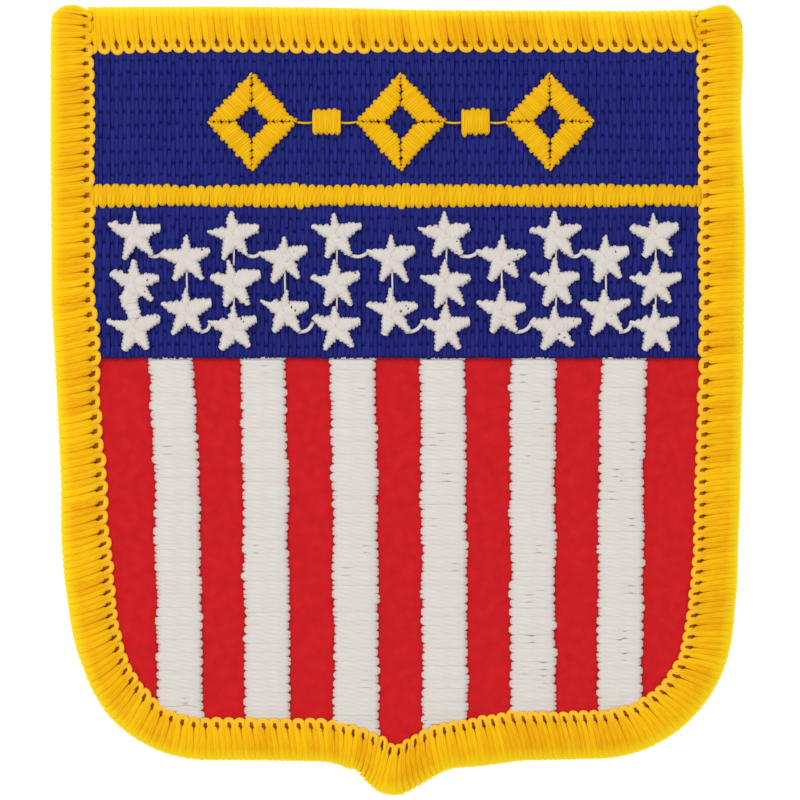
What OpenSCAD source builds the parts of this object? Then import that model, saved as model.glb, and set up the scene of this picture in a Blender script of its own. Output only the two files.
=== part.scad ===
// Embroidered shield patch, laid flat with its face up and the point of the
// shield towards -Y. A red twill ground carries satin and fill stitching, and a
// thick overlocked border wraps the whole edge of the cloth.
// Millimetres. The origin is under the middle of the patch, on its back.

/* [Patch] */
// Width of the patch over its border
patch_w = 63.6; // [58:0.1:76]
// Height of the patch from the top edge to the point
patch_h = 72.3; // [66:0.1:86]
// Clearance between one layer or piece and the next
gap = 0.05; // [0.03:0.01:0.08]

/* [Border] */
// Width of the overlocked border, seen from the front
border_w = 4.0; // [3.2:0.1:4.4]
// Height of the border's crown above its flat back
border_h = 2.7; // [2.4:0.1:3.2]
// Thickness of the threads that cross the back
border_back_t = 0.6; // [0.5:0.05:0.8]
// Thickness of the threads that wrap round the cloth's edge
border_wrap_t = 0.9; // [0.6:0.1:1.2]

/* [Ground and fills] */
// Thickness of the twill ground
ground_t = 1.0; // [0.8:0.05:1.1]
// Thickness of the blue fill stitching
fill_t = 0.45; // [0.3:0.05:0.5]
// Strip of ground left bare between the blue fill and the border
bare_w = 0.25; // [0.1:0.05:0.5]
// Thickness of the satin stripes at their crown
stripe_t = 0.6; // [0.45:0.05:0.7]
// Width of one satin stripe
stripe_w = 3.8; // [3:0.1:4.6]
// Height of the gold bar between the two blue fields
bar_w = 1.9; // [1.4:0.1:2.4]
// Thickness of the gold bar at its crown
bar_t = 0.75; // [0.6:0.05:0.9]
// How much lower a stripe or the bar is at its edges than at its crown
crown = 0.2; // [0.1:0.05:0.25]

/* [Motifs] */
// Thickness of the satin motifs that lie on the blue fill
motif_t = 0.45; // [0.3:0.05:0.6]
// Reach of a star from its middle to the end of an arm
star_r = 2.3; // [1.8:0.1:2.4]
// Distance from a star's middle to the notch between two arms
star_notch_r = 1.15; // [0.9:0.05:1.25]
// Width of a star's arm at its round end
star_arm_w = 0.76; // [0.5:0.02:0.9]
// Height of a lozenge before its points are rounded
lozenge_h = 9.8; // [8:0.1:10.2]
// Width of a lozenge before its points are rounded
lozenge_w = 8.8; // [7:0.1:9]
// Width of the satin band that forms a lozenge
lozenge_band = 2.1; // [1.6:0.1:2.4]
// Side of a pellet
pellet_w = 2.4; // [1.6:0.1:2.6]

/* [Hidden] */
CORNER_STEPS = 4;
STARS = 28;
STRIPES = 6;
LOZENGES = 3;
PELLETS = 2;

// A node's name with its number in two digits.
function numbered(base, i) = str(base, i < 10 ? "0" : "", i);

// The tables below give places on a patch of this size. They are stretched
// with the patch when patch_w or patch_h changes.
DRAWN = [63.6, 72.3];
STRETCH = [patch_w / DRAWN[0], patch_h / DRAWN[1]];
function place(p) = [p[0] * STRETCH[0], p[1] * STRETCH[1]];

// Corners of the shield before they are rounded, anticlockwise from the top
// left. A corner with no steps stays a plain bend.
// Columns: x, y, radius, steps round the arc.
SHIELD = [
    [-31.75, 36.15, 1.9, 5],
    [-31.65, 9.00, 0, 0],
    [-30.50, -13.00, 0, 0],
    [-28.75, -33.20, 13.0, 14],
    [-5.50, -33.20, 5.0, 5],
    [-0.45, -37.05, 2.2, 6],
    [4.80, -33.80, 4.5, 5],
    [11.00, -33.25, 0, 0],
    [30.10, -33.00, 12.5, 14],
    [31.50, 2.50, 0, 0],
    [31.70, 15.00, 0, 0],
    [31.40, 36.05, 1.9, 5],
    [25.00, 35.45, 0, 0],
    [2.00, 35.55, 0, 0],
    [-20.00, 35.85, 0, 0]
];
RADIUS = 2;
STEPS = 3;
// The smallest radius of a corner of an inset outline
TIGHTEST = 0.5;

// Height of the top edge of the bar and of the stripes, from the middle
BAR_TOP = 19.7 * STRETCH[1];
STRIPE_TOP = 3.75 * STRETCH[1];

// Middle line of each white stripe.
// Columns: x at the top of the stripe, x at the foot of the patch.
STRIPE_TABLE = [
    [-20.6, -19.9],
    [-12.3, -11.9],
    [-4.0, -3.8],
    [4.15, 4.4],
    [12.35, 12.5],
    [20.5, 20.0]
];
FOOT_Y = -patch_h / 2;

// Star rows. The long rows hold six stars and the short rows five.
LONG_ROWS = [15.1, 10.7, 6.6];
LONG_COLUMNS = [-24.0, -15.0, -5.6, 4.4, 14.4, 23.5];
SHORT_ROWS = [12.95, 8.1];
SHORT_COLUMNS = [-19.3, -10.35, -0.55, 9.45, 18.95];
STAR_PLACES = concat(
    [for (y = LONG_ROWS) for (x = LONG_COLUMNS) place([x, y])],
    [for (y = SHORT_ROWS) for (x = SHORT_COLUMNS) place([x, y])]
);

// The lozenges and pellets stand in one row across the upper blue field.
MOTIF_Y = 25.4;
MOTIF_MIDDLE = 0.3;
MOTIF_PITCH = 13.6;
MOTIF_CORNER_R = 0.5;

// Heights of the layers, from the flat back at zero
GROUND_Z = border_back_t;
FILL_Z = GROUND_Z + ground_t + gap;
MOTIF_Z = FILL_Z + fill_t + gap;

// Unit vector a quarter turn to the left of a step: the inner side of an
// outline that runs anticlockwise.
function inward(step) = [-step[1], step[0]] / norm(step);
function turned(v, angle) = [
    v[0] * cos(angle) - v[1] * sin(angle),
    v[0] * sin(angle) + v[1] * cos(angle)
];

// One rounded corner of an outline that is inset by d. The corner is moved
// along its mitre. An outer corner's radius shrinks by d and a hollow one's
// grows by d, so that the inset outline stays parallel to the first.
function corner(shape, i, d) =
    let (count = len(shape))
    let (here = [shape[i][0], shape[i][1]])
    let (before = shape[(i + count - 1) % count])
    let (after = shape[(i + 1) % count])
    let (step_in = here - [before[0], before[1]])
    let (step_out = [after[0], after[1]] - here)
    let (n_in = inward(step_in))
    let (n_out = inward(step_out))
    let (mitre = (n_in + n_out) / (1 + n_in * n_out))
    let (turn = atan2(cross(n_in, n_out), n_in * n_out))
    let (side = turn < 0 ? -1 : 1)
    let (steps = shape[i][STEPS])
    let (r = max(shape[i][RADIUS] - side * d, TIGHTEST))
    let (middle = here + mitre * (d + side * r))
    steps == 0
        ? [here + mitre * d]
        : [for (k = [0:steps]) middle - side * r * turned(n_in, turn * k / steps)];

function outline(shape, d) = [for (i = [0:len(shape) - 1]) each corner(shape, i, d)];

function lowest(points, axis) = min([for (p = points) p[axis]]);
function highest(points, axis) = max([for (p = points) p[axis]]);

// The shield's corners, centred and stretched so that the rounded outline
// fills the box patch_w by patch_h to within a hundredth of a millimetre.
ROUGH = outline(SHIELD, 0);
ROUGH_LOW = [lowest(ROUGH, 0), lowest(ROUGH, 1)];
ROUGH_HIGH = [highest(ROUGH, 0), highest(ROUGH, 1)];
ROUGH_MIDDLE = (ROUGH_LOW + ROUGH_HIGH) / 2;
FIT = [
    patch_w / (ROUGH_HIGH[0] - ROUGH_LOW[0]),
    patch_h / (ROUGH_HIGH[1] - ROUGH_LOW[1])
];
CORNERS = [for (c = SHIELD) [
    (c[0] - ROUGH_MIDDLE[0]) * FIT[0],
    (c[1] - ROUGH_MIDDLE[1]) * FIT[1],
    c[RADIUS],
    c[STEPS]
]];

module shield(d) {
    polygon(outline(CORNERS, d));
}

// Cross-section of the border as a closed loop of points, before its slot is cut.
// Columns: inset from the patch's edge, height above the back.
// It has a flat back, a round outer edge and a domed face that falls to a low
// wall where the stitching ends inwards.
EDGE_Z = 1.1;
INNER_EDGE_Z = 1.95;
EDGE_ROUND = 0.7;
CROWN_U = border_w / 2;
QUARTER = 90;
ARC_STEPS = 6;
function arc_angles(steps) = [for (k = [0:steps]) QUARTER * k / steps];
BORDER_SECTION = concat(
    [for (a = arc_angles(CORNER_STEPS)) [EDGE_ROUND * (1 - sin(a)), EDGE_Z * (1 - cos(a))]],
    [for (a = arc_angles(ARC_STEPS)) if (a > 0)
        [CROWN_U * (1 - cos(a)), EDGE_Z + (border_h - EDGE_Z) * sin(a)]],
    [for (a = arc_angles(ARC_STEPS)) if (a > 0)
        [CROWN_U + (border_w - CROWN_U) * sin(a),
         INNER_EDGE_Z + (border_h - INNER_EDGE_Z) * cos(a)]],
    [[border_w, 0]]
);

// The section swept round the shield. Each point of the section follows its
// own inset outline, and the outlines all have the same number of points.
module swept_border() {
    rails = [for (s = BORDER_SECTION) [for (p = outline(CORNERS, s[0])) [p[0], p[1], s[1]]]];
    across = len(rails);
    along = len(rails[0]);
    faces = [
        for (j = [0:across - 1]) for (i = [0:along - 1])
            let (j2 = (j + 1) % across)
            let (i2 = (i + 1) % along)
            each [
                [j * along + i, j2 * along + i2, j * along + i2],
                [j * along + i, j2 * along + i, j2 * along + i2]
            ]
    ];
    polyhedron([for (rail = rails) each rail], faces);
}

// Overlocked border, bent round the cloth's edge: a slot that opens inwards
// takes the cloth.
module merrowed_border() {
    color("#F3B817")
        difference() {
            swept_border();
            translate([0, 0, GROUND_Z - gap])
                linear_extrude(ground_t + 2 * gap)
                    shield(border_wrap_t);
        }
}

// Twill ground, held all round in the border's slot.
module ground_cloth() {
    color("#CD1F25")
        translate([0, 0, GROUND_Z])
            linear_extrude(ground_t)
                shield(border_wrap_t + gap);
}

// A band of the field between two heights, inside the border.
module band(low, high, inset) {
    intersection() {
        shield(border_w + inset);
        translate([-patch_w / 2, low])
            square([patch_w, high - low]);
    }
}

// Upper blue field, over the bar.
module chief_panel() {
    color("#212569")
        translate([0, 0, FILL_Z])
            linear_extrude(fill_t)
                band(BAR_TOP + gap, patch_h / 2, bare_w);
}

// Lower blue field, which carries the stars.
module star_panel() {
    color("#2C2E69")
        translate([0, 0, FILL_Z])
            linear_extrude(fill_t)
                band(STRIPE_TOP + gap, BAR_TOP - bar_w - gap, bare_w);
}

// Radius of a round top that falls by crown over half the width.
function crown_r(width) = (width * width / 4 + crown * crown) / (2 * crown);

// Long round bar whose top line lies at height zero along +Y.
module crowned_stock(width) {
    r = crown_r(width);
    translate([0, 0, -r])
        rotate([90, 0, 0])
            cylinder(h = 2 * patch_h, r = r, center = true, $fn = 96);
}

// Gold satin bar between the two blue fields, round-topped along its length.
module gold_bar() {
    color("#F0B613")
        intersection() {
            translate([0, 0, FILL_Z])
                linear_extrude(bar_t)
                    band(BAR_TOP - bar_w, BAR_TOP, gap);
            translate([0, BAR_TOP - bar_w / 2, FILL_Z + bar_t])
                rotate([0, 0, QUARTER])
                    crowned_stock(bar_w);
        }
}

// White satin stripe, round-topped, which leans a little and ends at the border.
module white_stripe(i) {
    top = [STRIPE_TABLE[i - 1][0] * STRETCH[0], STRIPE_TOP - gap];
    foot = [STRIPE_TABLE[i - 1][1] * STRETCH[0], FOOT_Y];
    half = [stripe_w / 2, 0];
    lean = atan2(foot[0] - top[0], top[1] - foot[1]);
    color("#DDD8D6")
        intersection() {
            translate([0, 0, FILL_Z])
                linear_extrude(stripe_t)
                    intersection() {
                        shield(border_w + gap);
                        polygon([top - half, foot - half, foot + half, top + half]);
                    }
            translate([top[0], top[1], FILL_Z + stripe_t])
                rotate([0, 0, lean])
                    crowned_stock(stripe_w);
        }
}

// Outline of one star arm: two flanks, a round end and the notch after it.
ARM_END = 0.3;
ARM_END_SHARE = 0.45;
function star_arm(angle) = [
    turned([star_r - ARM_END, -star_arm_w / 2], angle),
    turned([star_r, -ARM_END_SHARE * star_arm_w / 2], angle),
    turned([star_r, ARM_END_SHARE * star_arm_w / 2], angle),
    turned([star_r - ARM_END, star_arm_w / 2], angle),
    turned([star_notch_r, 0], angle + 36)
];

// White satin star on the lower blue field, one arm up.
module star(i) {
    at = STAR_PLACES[i - 1];
    color("#DDD9D6")
        translate([at[0], at[1], MOTIF_Z])
            linear_extrude(motif_t)
                polygon([for (k = [0:4]) each star_arm(QUARTER + 72 * k)]);
}

// Gold satin lozenge, open in its middle.
module lozenge(i) {
    shape = [
        [lozenge_w / 2, 0, MOTIF_CORNER_R, CORNER_STEPS],
        [0, lozenge_h / 2, MOTIF_CORNER_R, CORNER_STEPS],
        [-lozenge_w / 2, 0, MOTIF_CORNER_R, CORNER_STEPS],
        [0, -lozenge_h / 2, MOTIF_CORNER_R, CORNER_STEPS]
    ];
    x = MOTIF_MIDDLE + (i - 2) * MOTIF_PITCH;
    color("#F0B614")
        translate([x * STRETCH[0], MOTIF_Y * STRETCH[1], MOTIF_Z])
            linear_extrude(motif_t)
                difference() {
                    polygon(outline(shape, 0));
                    polygon(outline(shape, lozenge_band));
                }
}

// Small gold satin block between two lozenges.
module pellet(i) {
    half = pellet_w / 2;
    shape = [
        [half, half, MOTIF_CORNER_R, CORNER_STEPS],
        [-half, half, MOTIF_CORNER_R, CORNER_STEPS],
        [-half, -half, MOTIF_CORNER_R, CORNER_STEPS],
        [half, -half, MOTIF_CORNER_R, CORNER_STEPS]
    ];
    x = MOTIF_MIDDLE + (i - 1.5) * MOTIF_PITCH;
    color("#F0B614")
        translate([x * STRETCH[0], MOTIF_Y * STRETCH[1], MOTIF_Z])
            linear_extrude(motif_t)
                polygon(outline(shape, 0));
}

ground_cloth();
merrowed_border();
chief_panel();
star_panel();
gold_bar();
for (i = [1:STRIPES]) white_stripe(i);
for (i = [1:STARS]) star(i);
for (i = [1:LOZENGES]) lozenge(i);
for (i = [1:PELLETS]) pellet(i);
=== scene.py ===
# %% [markdown]
# An embroidered shield patch, thread by thread
#
# A patch like this is a piece of red twill that a machine has sewn over: long
# satin stitches for the stripes, the stars and the bar, short running stitches
# for the blue fields, and a thick overlocked border round the edge. What the eye
# reads is thread, so nearly everything here is built from one idea: a thread is
# a tube that follows a path, and a stitch is a short path. The CAD frame says
# where each patch of stitching lies and how thick it is.

# %% Load the frame and keep its box
import math

import bpy
import numpy as np
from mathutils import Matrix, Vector


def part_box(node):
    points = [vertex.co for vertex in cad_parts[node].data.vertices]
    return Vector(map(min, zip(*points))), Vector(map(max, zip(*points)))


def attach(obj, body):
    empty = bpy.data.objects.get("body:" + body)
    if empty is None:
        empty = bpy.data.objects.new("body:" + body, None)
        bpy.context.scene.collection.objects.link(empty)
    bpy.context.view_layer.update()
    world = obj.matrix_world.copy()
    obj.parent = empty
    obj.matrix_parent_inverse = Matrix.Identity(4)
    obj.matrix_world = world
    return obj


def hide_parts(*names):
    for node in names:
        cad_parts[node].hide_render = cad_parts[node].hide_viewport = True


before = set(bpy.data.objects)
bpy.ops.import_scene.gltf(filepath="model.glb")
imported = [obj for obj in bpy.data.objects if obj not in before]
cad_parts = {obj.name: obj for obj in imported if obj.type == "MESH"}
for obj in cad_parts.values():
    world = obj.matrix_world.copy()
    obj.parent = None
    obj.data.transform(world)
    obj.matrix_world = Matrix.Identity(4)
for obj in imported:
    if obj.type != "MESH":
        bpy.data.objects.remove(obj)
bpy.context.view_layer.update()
MM = 0.001


# %% [markdown]
# Every length below is in millimetres, because that is how a digitiser thinks of
# stitches. They turn into metres where a mesh, a material or a light is made. The
# heights and the places of the layers are read from the CAD nodes, so the
# stitches always lie on what carries them. The stripes lean a little, each in
# its own way, so a small table gives the middle line of each.

# %% Heights of the layers, from the CAD nodes
def node_box(name):
    """Lowest and highest corner of a CAD node, in millimetres."""
    low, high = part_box(name)
    return np.array(low) / MM, np.array(high) / MM


def heights(name):
    """Heights of a CAD node's underside and top."""
    low, high = node_box(name)
    return low[2], high[2]


GROUND_LOW, GROUND_TOP = heights("ground_cloth")
FILL_LOW, FILL_TOP = heights("chief_panel")
BORDER_TOP = heights("merrowed_border")[1]
BAR_TOP = heights("gold_bar")[1]
STRIPE_TOP = heights("white_stripe_1")[1]
MOTIF_TOP = heights("star_01")[1]
print("tops in mm: ground", GROUND_TOP, "fill", FILL_TOP, "motifs", MOTIF_TOP, "border", BORDER_TOP)


# %% Places of the fields, the bar and the stripes
PANEL_FOOT = node_box("star_panel")[0][1]
BAR_LOW, BAR_HIGH = [corner[1] for corner in node_box("gold_bar")]
STRIPE_HEAD = node_box("white_stripe_1")[1][1]
STRIPE_HALF_WIDTH = 2.1
STRIPE_Y = np.array([STRIPE_HEAD, -7.0, -25.0])
# Columns: x of the middle line at each of those three heights, share of slack stitches.
STRIPE_TABLE = np.array([
    [-20.72, -20.16, -19.85, 0.02],
    [-12.36, -12.06, -11.90, 0.02],
    [-4.13, -3.90, -3.76, 0.05],
    [4.15, 4.21, 4.33, 0.09],
    [12.45, 12.33, 12.38, 0.09],
    [20.72, 20.46, 20.31, 0.06],
])


def stripe_middle(number, y):
    """Middle line of a stripe: its x at a height, straight between the three heights of the table."""
    return np.interp(-y, -STRIPE_Y, STRIPE_TABLE[number, :3])


print("stripes in mm: head at y", round(STRIPE_HEAD, 2), "and x", STRIPE_TABLE[:, 0])


# %% [markdown]
# The outline of the shield comes from the border's own mesh. Its widest line
# runs at one height and its inner edge at another, so the corners at each of
# those heights, sorted by their angle round the middle, are the two outlines.
# Both have the same number of corners, so an outline at any inset between them
# is a straight mix of the two.

# %% The outlines of the border
BORDER_WIDTH = 4.0
WIDEST_HEIGHT = 1.1
INNER_HEIGHT = 1.95


def ring_at(height):
    """The border's corners at one height, anticlockwise from the left.

    Sorted by angle = atan2(y, x). Rows are x, y.
    """
    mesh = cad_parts["merrowed_border"].data
    points = np.empty(len(mesh.vertices) * 3)
    mesh.vertices.foreach_get("co", points)
    points = points.reshape(-1, 3) / MM
    level = points[np.abs(points[:, 2] - height) < 0.01, :2]
    level = np.unique(level.round(3), axis=0)
    return level[np.argsort(np.arctan2(level[:, 1], level[:, 0]))]


OUTER_RING = ring_at(WIDEST_HEIGHT)
INNER_RING = ring_at(INNER_HEIGHT)
print("corners in the outlines:", len(OUTER_RING), len(INNER_RING))


def ring_inset(inset):
    """Outline at an inset: outer + (inner - outer) * inset / width, closed at its first point."""
    ring = OUTER_RING + (INNER_RING - OUTER_RING) * (inset / BORDER_WIDTH)
    return np.vstack([ring, ring[:1]])


def crossings(ring, axis, values):
    """Lowest and highest place where lines cut a closed outline.

    A line at x (axis 0) or y (axis 1) = value meets the edge from a to b where
    w = (value - a) / (b - a) lies from 0 to 1, at a' + w * (b' - a') on the
    other axis. Returns two arrays, one entry for each value.
    """
    a, b = ring[:-1], ring[1:]
    value = np.asarray(values, float)[:, None]
    run = np.where(np.abs(b[:, axis] - a[:, axis]) < 1e-9, 1e-9, b[:, axis] - a[:, axis])
    w = (value - a[:, axis]) / run
    at = a[:, 1 - axis] + w * (b[:, 1 - axis] - a[:, 1 - axis])
    hit = (w >= 0) & (w <= 1)
    return np.where(hit, at, np.inf).min(1), np.where(hit, at, -np.inf).max(1)


# %% [markdown]
# A thread is a tube. Its path is a row of points, and at each point two vectors
# span the cross-section: one sideways and one up. The section is an ellipse,
# because thread flattens where it lies on cloth. All the threads of one patch
# of stitching have the same number of points, so their tubes are worked out
# together as one array.
#
# Two values are kept at each point for the materials: "shade", a random number
# for each thread, because no two lengths of dyed thread take the light alike,
# and "reach", which says how far along its stitch a point lies. From reach the
# materials paint light and shade at the ends of a stitch and on the border's rim.

# %% Threads as tubes
SIDES = 6


def unit(v):
    """v / |v|, along the last axis."""
    return v / np.maximum(np.linalg.norm(v, axis=-1, keepdims=True), 1e-12)


def tube_faces(count, steps, sides):
    """Quads round each tube and a cap at each end, as numbers of points, and the quads' own grid.

    Point k of the ring at a step of a thread has the number
    (thread * steps + step) * sides + k.
    """
    thread, step, k = np.meshgrid(np.arange(count), np.arange(steps - 1), np.arange(sides), indexing="ij")
    here = (thread * steps + step) * sides
    after = (k + 1) % sides
    quads = np.stack([here + k, here + sides + k, here + sides + after, here + after], -1).reshape(-1, 4)
    first = np.arange(count)[:, None] * steps * sides + np.arange(sides)
    last = first[:, ::-1] + (steps - 1) * sides
    return quads, np.vstack([first, last]), (thread, step, k)


def thread_tubes(path, side, half_width, half_height, shade, reach, sides=SIDES):
    """Closed elliptical tubes along many paths at once.

    A point of a tube is P + a cos(f) S + b sin(f) U, where P is the path, S the
    sideways unit vector made square to the path's tangent T, U = S x T, and a
    and b are the half width and half height. path and side are (threads,
    points, 3), half_width, half_height and reach (threads, points), and shade
    has one value for each thread. In the UV, u is the length along the thread
    in mm and v the share of the way round.
    """
    count, steps = path.shape[:2]
    tangent = unit(np.gradient(path, axis=1))
    side = unit(side - tangent * (side * tangent).sum(-1, keepdims=True))
    up = np.cross(side, tangent)
    angle = 2 * np.pi * np.arange(sides) / sides
    across = np.cos(angle)[:, None] * side[:, :, None] * half_width[:, :, None, None]
    rise = np.sin(angle)[:, None] * up[:, :, None] * half_height[:, :, None, None]
    points = (path[:, :, None] + across + rise).reshape(-1, 3)

    quads, caps, (thread, step, k) = tube_faces(count, steps, sides)
    length = np.linalg.norm(np.diff(path, axis=1), axis=2).cumsum(1)
    length = np.concatenate([np.zeros((count, 1)), length], 1)
    u0, u1 = length[thread, step], length[thread, step + 1]
    quad_uv = np.stack([np.stack([u0, u1, u1, u0], -1), np.stack([k, k, k + 1, k + 1], -1) / sides], -1)
    cap_v = np.broadcast_to(np.arange(sides) / sides, caps.shape)
    cap_uv = np.stack([np.zeros(caps.shape), cap_v], -1)
    uv = np.vstack([quad_uv.reshape(-1, 2), cap_uv.reshape(-1, 2)])
    reach = np.broadcast_to(reach, (count, steps))
    return {"points": points, "quads": quads, "caps": caps, "uv": uv,
            "shade": np.repeat(shade, steps * sides), "reach": np.repeat(reach.ravel(), sides)}


# %% [markdown]
# Several tubes and blocks become one mesh, which foreach_set fills from the
# joined arrays in one go. That is far quicker than adding points one by one.

# %% Fill a Blender mesh from arrays
def build(name, parts, material, replaces=()):
    """Joins parts into one object that rides on the patch, gives it its material and hides the CAD nodes that
    it replaces.
    """
    starts = np.cumsum([0] + [len(part["points"]) for part in parts])
    faces = [part[kind] + start for part, start in zip(parts, starts)
             for kind in ("quads", "caps") if kind in part]
    keys = ("points", "uv", "shade", "reach")
    joined = {key: np.concatenate([part[key] for part in parts]) for key in keys}
    sizes = np.concatenate([np.full(len(face), face.shape[1]) for face in faces])

    mesh = bpy.data.meshes.new(name)
    mesh.vertices.add(len(joined["points"]))
    mesh.vertices.foreach_set("co", (joined["points"] * MM).ravel())
    mesh.loops.add(int(sizes.sum()))
    mesh.loops.foreach_set("vertex_index", np.concatenate([face.ravel() for face in faces]).astype(np.int32))
    mesh.polygons.add(len(sizes))
    mesh.polygons.foreach_set("loop_start", (sizes.cumsum() - sizes).astype(np.int32))
    mesh.update(calc_edges=True)
    mesh.uv_layers.new(name="thread").data.foreach_set("uv", joined["uv"].ravel())
    for label in ("shade", "reach"):
        mesh.attributes.new(label, "FLOAT", "POINT").data.foreach_set("value", joined[label])
    mesh.polygons.foreach_set("use_smooth", np.ones(len(sizes), bool))
    mesh.materials.append(material)
    mesh.validate()

    piece = bpy.data.objects.new(name, mesh)
    bpy.context.scene.collection.objects.link(piece)
    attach(piece, "root")
    if replaces:
        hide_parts(*replaces)
    print(f"{name}: {int((sizes - 2).sum())} triangles")
    return piece


# %% [markdown]
# Materials. Embroidery thread is trilobal polyester or rayon: bundles of fine
# bright filaments, twisted together. Each filament is a tiny mirror along its
# length, so the thread has a soft sheen but no sharp highlight. The twist shows
# as slanting ridges along the thread, and the filaments as fine grain.

# %% Colour and node helpers
def rgb(hex_colour):
    """sRGB hex to linear: c / 12.92 below 0.04045, else ((c + 0.055) / 1.055) ** 2.4."""
    values = [int(hex_colour[i:i + 2], 16) / 255 for i in (1, 3, 5)]
    return [v / 12.92 if v <= 0.04045 else ((v + 0.055) / 1.055) ** 2.4 for v in values] + [1.0]


def add(tree, kind, settings=None, **links):
    """Adds a shader node, sets its properties and inputs, and links the named inputs from other sockets."""
    node = tree.nodes.new(f"ShaderNode{kind}")
    for key, value in (settings or {}).items():
        if hasattr(node, key):
            setattr(node, key, value)
        else:
            node.inputs[int(key) if key.isdigit() else key].default_value = value
    for key, socket in links.items():
        place = int(key[1:]) if key[0] == "_" else key.replace("_", " ")
        tree.links.new(socket, node.inputs[place])
    return node


def new_material(name, roughness, specular=0.1):
    """A material with one Principled shader. Returns the material, its tree and the shader."""
    material = bpy.data.materials.new(name)
    material.use_nodes = True
    shader = material.node_tree.nodes["Principled BSDF"]
    shader.inputs["Roughness"].default_value = roughness
    shader.inputs["Specular IOR Level"].default_value = specular
    return material, material.node_tree, shader


# %% Thread material
# How often the grain changes: for each mm along the thread, in a turn round it, and over the range
# of shades. A real filament is about 0.02 mm wide, too fine to show, so the grain is drawn coarser.
GRAIN = (1.1, 14.0, 60.0)
SHADE_SHARE = 0.45
RELIEF_MM = 0.05


def thread_material(name, deep, light, tip, outer=None, roughness=0.5, specular=0.15, plies=3, turn_mm=1.6,
                    bump=0.3, streaks=1.3, ply_light_and_shade=0.22):
    """Dyed filament thread.

    Colour runs from deep to light with the thread's own shade and with streaks
    along it, and with the plies: painted light on their crests and painted shade
    in their valleys. The mean lies halfway from deep to light. Where reach is near
    1, at the ends of a stitch, the colour goes to tip: a lighter tip is a painted
    highlight, a darker one painted shade. Where reach is near 0 it goes to outer,
    if one is given, which is painted light on the rim. The plies are
    sin(2 pi (plies v + u / turn_mm)), with u in mm along the thread and v round it,
    and the grain is noise stretched along u.
    """
    material, tree, shader = new_material(name, roughness, specular)
    uv = add(tree, "UVMap", {"uv_map": "thread"})
    shade = add(tree, "Attribute", {"attribute_name": "shade"})
    reach = add(tree, "Attribute", {"attribute_name": "reach"})
    split = add(tree, "SeparateXYZ", Vector=uv.outputs[0])

    along = add(tree, "Math", {"operation": "MULTIPLY", "1": 1 / turn_mm}, _0=split.outputs["X"])
    turns = add(tree, "Math", {"operation": "MULTIPLY_ADD", "1": float(plies)},
                _0=split.outputs["Y"], _2=along.outputs[0])
    angle = add(tree, "Math", {"operation": "MULTIPLY", "1": 2 * math.pi}, _0=turns.outputs[0])
    twist = add(tree, "Math", {"operation": "SINE"}, _0=angle.outputs[0])
    place = add(tree, "CombineXYZ", X=split.outputs["X"], Y=split.outputs["Y"], Z=shade.outputs["Fac"])
    scaled = add(tree, "VectorMath", {"operation": "MULTIPLY", "1": GRAIN}, _0=place.outputs[0])
    grain = add(tree, "TexNoise", {"Scale": 1.0, "Detail": 2.0}, Vector=scaled.outputs[0])

    centred = (1 - SHADE_SHARE - streaks) / 2
    streak = add(tree, "Math", {"operation": "MULTIPLY_ADD", "1": streaks, "2": centred},
                 _0=grain.outputs["Fac"])
    # Painted light on the crests of the plies and painted shade in their valleys.
    with_ply_light = add(tree, "Math", {"operation": "MULTIPLY_ADD", "1": ply_light_and_shade},
                 _0=twist.outputs[0], _2=streak.outputs[0])
    mix_by = add(tree, "Math", {"operation": "MULTIPLY_ADD", "1": SHADE_SHARE, "use_clamp": True},
                 _0=shade.outputs["Fac"], _2=with_ply_light.outputs[0])
    body = add(tree, "Mix", {"data_type": "RGBA", "6": rgb(deep), "7": rgb(light)},
               _0=mix_by.outputs[0])
    # Painted light and shade at the ends of a stitch: the tip colour where reach is near 1.
    ends = add(tree, "MapRange", {"From Min": 0.72, "From Max": 1.0}, Value=reach.outputs["Fac"])
    colour = add(tree, "Mix", {"data_type": "RGBA", "7": rgb(tip)},
                 _0=ends.outputs[0], _6=body.outputs[2])
    # Painted light on the outer rim, where reach is near 0.
    if outer:
        rim = add(tree, "MapRange", {"From Min": 0.05, "From Max": 0.28, "To Min": 1.0, "To Max": 0.0},
                  Value=reach.outputs["Fac"])
        colour = add(tree, "Mix", {"data_type": "RGBA", "7": rgb(outer)},
                     _0=rim.outputs[0], _6=colour.outputs[2])
    tree.links.new(colour.outputs[2], shader.inputs["Base Color"])

    height = add(tree, "Math", {"operation": "MULTIPLY_ADD", "1": 0.6},
                 _0=twist.outputs[0], _2=grain.outputs["Fac"])
    relief = add(tree, "Bump", {"Strength": bump, "Distance": RELIEF_MM * MM}, Height=height.outputs[0])
    tree.links.new(relief.outputs[0], shader.inputs["Normal"])
    return material


# %% The four kinds of thread
# Spun polyester is matt and thick, with a slow twist. Its outer colour is painted light on the rim where it
# wraps round the edge, and its tip colour a painted highlight on the loops.
GOLD_BORDER = thread_material("spun polyester thread, gold", "#E89C02", "#FFCC0C", "#FFC42C", outer="#FAD60A",
                              roughness=0.65, specular=0.08, plies=6, turn_mm=9.0, streaks=1.1, ply_light_and_shade=0.13)
# Rayon shines a little more, and its tight twist shows as small slanting ridges. Its lighter tip colour is a
# painted highlight where the threads dive into the cloth.
GOLD_SATIN = thread_material("rayon thread, gold", "#E6A402", "#F6C60A", "#FAD060", specular=0.1)
# White hides its own twist, because light also comes through the filaments. Its cream tip colour is a painted
# highlight where the threads dive into the cloth.
WHITE_SATIN = thread_material("rayon thread, white", "#CFC5BA", "#E4E0DD", "#FBEFE0", bump=0.12, streaks=0.6,
                              ply_light_and_shade=0.08)
# The running stitches are short and pulled tight, so they shine least. Their darkest tip colour is painted
# shade at the needle holes.
NAVY_FILL = thread_material("rayon thread, navy", "#181C66", "#272C82", "#181B64", roughness=0.6,
                            specular=0.08, bump=0.15, ply_light_and_shade=0.12)


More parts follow.
